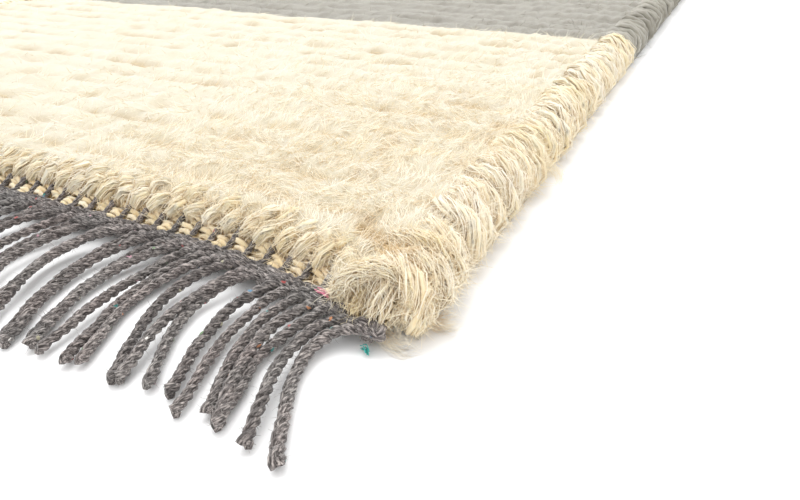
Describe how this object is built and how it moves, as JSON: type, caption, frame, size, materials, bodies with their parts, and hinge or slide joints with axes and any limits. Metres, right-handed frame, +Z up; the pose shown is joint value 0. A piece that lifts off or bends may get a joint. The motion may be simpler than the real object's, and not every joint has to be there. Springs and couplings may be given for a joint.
{
  "type": "hand-woven wool rug",
  "caption": "Thick hand-woven wool rug in cream and grey bands, with turned selvedges, a flat-woven strip, a plaited ridge and a twisted cord fringe at each end.",
  "frame": {"origin": "on the floor, under the middle of the rug", "axes": "+X along the rows of wool from selvedge to selvedge, +Y along the warps from the front fringe to the back fringe, +Z up out of the pile"},
  "size_m": [0.6055, 1.0537, 0.0202],
  "materials": {
    "wool": "matte fuzzy wool",
    "cord": "matte twisted cotton"
  },
  "bodies": {
    "root": {"rug": "wool", "fringe_front": "cord", "fringe_back": "cord"}
  },
  "joints": []
}
